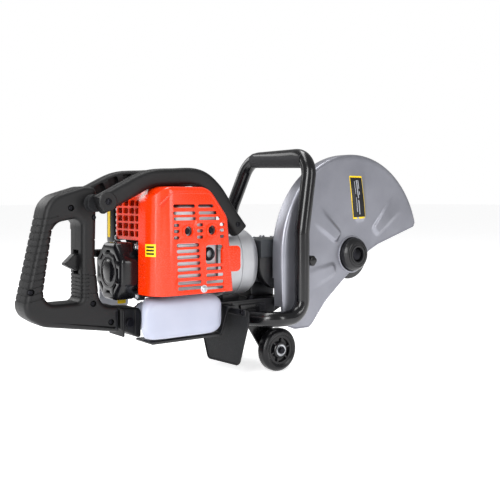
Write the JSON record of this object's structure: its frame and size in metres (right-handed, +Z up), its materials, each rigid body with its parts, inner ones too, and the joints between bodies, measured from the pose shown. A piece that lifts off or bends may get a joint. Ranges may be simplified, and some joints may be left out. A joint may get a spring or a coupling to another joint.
{
  "type": "rescue saw",
  "caption": "Handheld petrol rescue saw with a tilting disc guard, belt arm, D-shaped rear handle, tube front handle, debris flap and two transport wheels.",
  "frame": {"origin": "middle of the saw's box on the floor it stands on", "axes": "+X forward from the rear handle to the disc guard, +Y to the operator's left, +Z up"},
  "size_m": [0.7602, 0.2338, 0.3761],
  "materials": {
    "black_nylon": "moulded satin",
    "gloss_black_plastic": "glossy",
    "orange_nylon": "semi-gloss moulding",
    "tank_plastic": "milky translucent",
    "silver_paint": "silver satin paint",
    "cast_aluminium": "as cast",
    "dark_casting": "dark coated casting",
    "steel": "machined",
    "black_painted_steel": "black powder coat",
    "rubber": "matte",
    "wheel_rubber": "smooth"
  },
  "bodies": {
    "frame": {"spindle_bearing": "steel", "belt_arm": "black_painted_steel", "belt_cover": "black_painted_steel", "drive_belt": "rubber", "gearbox_housing": "dark_casting", "clutch_housing": "cast_aluminium", "crankcase": "cast_aluminium", "cylinder": "cast_aluminium", "piston": "steel", "spark_plug": "steel", "silencer": "silver_paint", "engine_cover": "orange_nylon", "fan_housing": "black_nylon", "starter_cover": "gloss_black_plastic", "carburettor": "cast_aluminium", "air_filter_base": "black_nylon", "air_filter_foam": "rubber", "air_filter_cover": "gloss_black_plastic", "fuel_tank": "tank_plastic", "chassis": "black_painted_steel", "tank_skid": "black_painted_steel", "debris_flap": "rubber", "wheel_strut_right": "black_painted_steel", "wheel_axle_right": "steel", "wheel_strut_left": "black_painted_steel", "wheel_axle_left": "steel", "front_handle": "black_painted_steel", "rail_right": "black_nylon", "rail_damper_right": "rubber", "rail_left": "black_nylon", "rail_damper_left": "rubber", "grip_shell_right": "black_nylon", "grip_shell_left": "black_nylon", "rear_mount_block": "black_nylon"},
    "spindle": {"spindle_shaft": "steel", "inner_flange": "steel", "outer_flange": "black_painted_steel", "spindle_bolt": "steel", "driven_pulley": "cast_aluminium"},
    "output_shaft": {"bevel_gear": "steel", "drive_pulley": "cast_aluminium"},
    "clutch_output": {"clutch_drum": "steel", "bevel_pinion": "steel"},
    "crank": {"crankshaft": "steel", "flywheel": "cast_aluminium", "centrifugal_clutch": "steel"},
    "starter_drum": {"starter_reel": "black_nylon"},
    "pull_handle": {"starter_grip": "black_nylon", "starter_rope": "rubber"},
    "trigger": {"throttle_trigger": "black_nylon"},
    "switch": {"stop_switch": "gloss_black_plastic"},
    "choke": {"choke_lever": "gloss_black_plastic"},
    "primer": {"primer_bulb": "rubber"},
    "right_wheel": {"wheel_tyre_right": "wheel_rubber", "wheel_core_right": "gloss_black_plastic"},
    "left_wheel": {"wheel_tyre_left": "wheel_rubber", "wheel_core_left": "gloss_black_plastic"},
    "guard": {"guard_shell": "silver_paint"},
    "guard_lock": {"guard_lock_knob": "gloss_black_plastic"},
    "tank_cap": {"fuel_cap": "black_nylon"}
  },
  "joints": [
    {"name": "spindle_spin", "type": "hinge", "parent": "frame", "child": "spindle", "pos_m": [0.204, -0.053, 0.19], "axis": [0, 1, 0], "continuous": true},
    {"name": "output_spin", "type": "hinge", "parent": "frame", "child": "output_shaft", "pos_m": [0.064, -0.013, 0.179], "axis": [0, 1, 0], "continuous": true},
    {"name": "clutch_drum_spin", "type": "hinge", "parent": "frame", "child": "clutch_output", "pos_m": [0.004, -0.013, 0.179], "axis": [1, 0, 0], "continuous": true},
    {"name": "crank_spin", "type": "hinge", "parent": "frame", "child": "crank", "pos_m": [-0.127, -0.013, 0.179], "axis": [1, 0, 0], "continuous": true},
    {"name": "starter_pull", "type": "slide", "parent": "frame", "child": "pull_handle", "axis": [0, 1, 0], "range_m": [0, 0.25], "stiffness_N_per_m": 30, "springref_m": -0.05},
    {"name": "starter_reel_turn", "type": "hinge", "parent": "frame", "child": "starter_drum", "pos_m": [-0.226, -0.013, 0.179], "axis": [1, 0, 0], "range_deg": [-600, 0]},
    {"name": "throttle_squeeze", "type": "hinge", "parent": "frame", "child": "trigger", "pos_m": [-0.286, -0.013, 0.206], "axis": [0, 1, 0], "range_deg": [-14, 0], "stiffness_Nm_per_rad": 0.5, "springref_deg": 11.46},
    {"name": "stop_switch_slide", "type": "slide", "parent": "frame", "child": "switch", "axis": [0, 0, 1], "range_m": [0, 0.005]},
    {"name": "choke_turn", "type": "hinge", "parent": "frame", "child": "choke", "pos_m": [-0.102, 0.0625, 0.262], "axis": [0, 1, 0], "range_deg": [0, 60]},
    {"name": "primer_press", "type": "slide", "parent": "frame", "child": "primer", "axis": [0, 0, 1], "range_m": [0, 0.004], "stiffness_N_per_m": 400},
    {"name": "right_wheel_spin", "type": "hinge", "parent": "frame", "child": "right_wheel", "pos_m": [0.041, -0.075, 0.036], "axis": [0, 1, 0], "continuous": true},
    {"name": "left_wheel_spin", "type": "hinge", "parent": "frame", "child": "left_wheel", "pos_m": [0.041, 0.067, 0.036], "axis": [0, 1, 0], "continuous": true},
    {"name": "guard_tilt", "type": "hinge", "parent": "frame", "child": "guard", "pos_m": [0.204, -0.073, 0.19], "axis": [0, 1, 0], "range_deg": [0, 35]},
    {"name": "guard_lock_turn", "type": "hinge", "parent": "guard", "child": "guard_lock", "pos_m": [0.096, -0.098, 0.184], "axis": [0, 1, 0], "range_deg": [0, 90]},
    {"name": "fuel_cap_turn", "type": "hinge", "parent": "frame", "child": "tank_cap", "pos_m": [-0.164, 0.012, 0.104], "axis": [0, 1, 0], "range_deg": [0, 180]}
  ],
  "couplings": [
    {"joint": "output_spin", "follows": "spindle_spin", "ratio": 0.88235},
    {"joint": "clutch_drum_spin", "follows": "spindle_spin", "ratio": 0.88235},
    {"joint": "starter_reel_turn", "follows": "starter_pull", "rad_per_m": -41.667}
  ]
}
